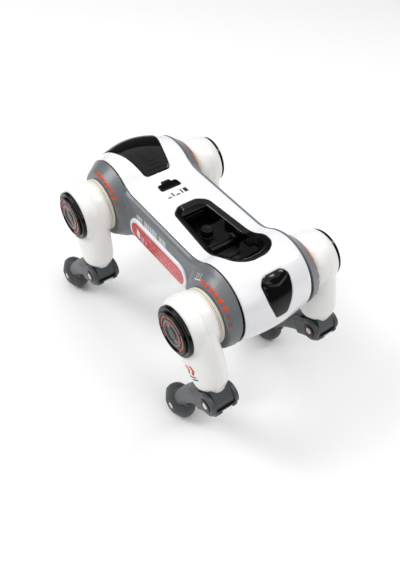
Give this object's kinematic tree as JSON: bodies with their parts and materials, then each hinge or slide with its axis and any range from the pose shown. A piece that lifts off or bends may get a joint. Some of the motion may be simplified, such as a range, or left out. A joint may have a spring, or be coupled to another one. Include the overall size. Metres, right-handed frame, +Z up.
{
  "type": "quadruped robot dog",
  "caption": "Robot dog with a bone-shaped shell body, a recessed accessory tray on its back and jointed legs at the corners.",
  "frame": {"origin": "on the ground under the middle of the robot's bounding box, in its rest stance", "axes": "+X forward towards the black front window, +Y to the robot's left, +Z up"},
  "size_m": [0.2767, 0.1596, 0.1763],
  "materials": {
    "shell_white": "high gloss",
    "leg_white": "satin gloss",
    "cover_grey": "satin gloss",
    "gloss_black": "high gloss",
    "badge_white": "gloss",
    "collar_cream": "satin",
    "ring_copper": "satin",
    "steel": "satin",
    "shin_grey": "satin",
    "foot_rubber": "matte",
    "battery_wrap": "satin",
    "board_green": "satin",
    "motor_case": "matte"
  },
  "bodies": {
    "trunk": {"top_cover": "shell_white", "left_side_cover": "cover_grey", "right_side_cover": "cover_grey", "belly_cover": "shell_white", "battery_door": "shell_white", "door_screws": "steel", "nose_window": "gloss_black", "tail_window": "gloss_black", "accessory_tray": "gloss_black", "accessory_stud": "gloss_black", "tray_latch": "gloss_black", "touch_pad": "gloss_black", "left_badge": "badge_white", "right_badge": "badge_white", "battery_pack": "battery_wrap", "main_board": "board_green", "speaker": "motor_case", "sensor_board": "board_green", "hip_motors": "motor_case"},
    "switch": {"power_switch": "gloss_black"},
    "front_left_thigh_body": {"front_left_hip_hub": "collar_cream", "front_left_thigh_inner": "leg_white", "front_left_thigh_outer": "leg_white", "front_left_hip_cap": "gloss_black", "front_left_hip_ring": "ring_copper", "front_left_knee_motor": "motor_case", "front_left_knee_bracket": "shin_grey"},
    "front_left_shin_body": {"front_left_knee_pin": "steel", "front_left_shin": "shin_grey", "front_left_foot": "foot_rubber"},
    "front_right_thigh_body": {"front_right_hip_hub": "collar_cream", "front_right_thigh_inner": "leg_white", "front_right_thigh_outer": "leg_white", "front_right_hip_cap": "gloss_black", "front_right_hip_ring": "ring_copper", "front_right_knee_motor": "motor_case", "front_right_knee_bracket": "shin_grey"},
    "front_right_shin_body": {"front_right_knee_pin": "steel", "front_right_shin": "shin_grey", "front_right_foot": "foot_rubber"},
    "rear_left_thigh_body": {"rear_left_hip_hub": "collar_cream", "rear_left_thigh_inner": "leg_white", "rear_left_thigh_outer": "leg_white", "rear_left_hip_cap": "gloss_black", "rear_left_hip_ring": "ring_copper", "rear_left_knee_motor": "motor_case", "rear_left_knee_bracket": "shin_grey"},
    "rear_left_shin_body": {"rear_left_knee_pin": "steel", "rear_left_shin": "shin_grey", "rear_left_foot": "foot_rubber"},
    "rear_right_thigh_body": {"rear_right_hip_hub": "collar_cream", "rear_right_thigh_inner": "leg_white", "rear_right_thigh_outer": "leg_white", "rear_right_hip_cap": "gloss_black", "rear_right_hip_ring": "ring_copper", "rear_right_knee_motor": "motor_case", "rear_right_knee_bracket": "shin_grey"},
    "rear_right_shin_body": {"rear_right_knee_pin": "steel", "rear_right_shin": "shin_grey", "rear_right_foot": "foot_rubber"}
  },
  "joints": [
    {"name": "front_left_hip", "type": "hinge", "parent": "trunk", "child": "front_left_thigh_body", "pos_m": [0.07387, 0.062, 0.1384], "axis": [0, 1, 0], "range_deg": [-36, 54]},
    {"name": "front_left_knee", "type": "hinge", "parent": "front_left_thigh_body", "child": "front_left_shin_body", "pos_m": [0.05582, 0.062, 0.07543], "axis": [0, 1, 0], "range_deg": [-25, 49]},
    {"name": "front_right_hip", "type": "hinge", "parent": "trunk", "child": "front_right_thigh_body", "pos_m": [0.07387, -0.062, 0.1384], "axis": [0, 1, 0], "range_deg": [-36, 54]},
    {"name": "front_right_knee", "type": "hinge", "parent": "front_right_thigh_body", "child": "front_right_shin_body", "pos_m": [0.05582, -0.062, 0.07543], "axis": [0, 1, 0], "range_deg": [-25, 49]},
    {"name": "rear_left_hip", "type": "hinge", "parent": "trunk", "child": "rear_left_thigh_body", "pos_m": [-0.08613, 0.062, 0.1384], "axis": [0, 1, 0], "range_deg": [-59, 31]},
    {"name": "rear_left_knee", "type": "hinge", "parent": "rear_left_thigh_body", "child": "rear_left_shin_body", "pos_m": [-0.12735, 0.062, 0.08749], "axis": [0, 1, 0], "range_deg": [-14, 60]},
    {"name": "rear_right_hip", "type": "hinge", "parent": "trunk", "child": "rear_right_thigh_body", "pos_m": [-0.08613, -0.062, 0.1384], "axis": [0, 1, 0], "range_deg": [-45, 45]},
    {"name": "rear_right_knee", "type": "hinge", "parent": "rear_right_thigh_body", "child": "rear_right_shin_body", "pos_m": [-0.11381, -0.062, 0.07903], "axis": [0, 1, 0], "range_deg": [-19, 55]},
    {"name": "power_slide", "type": "slide", "parent": "trunk", "child": "switch", "axis": [0, 1, 0], "range_m": [0, 0.004]}
  ]
}
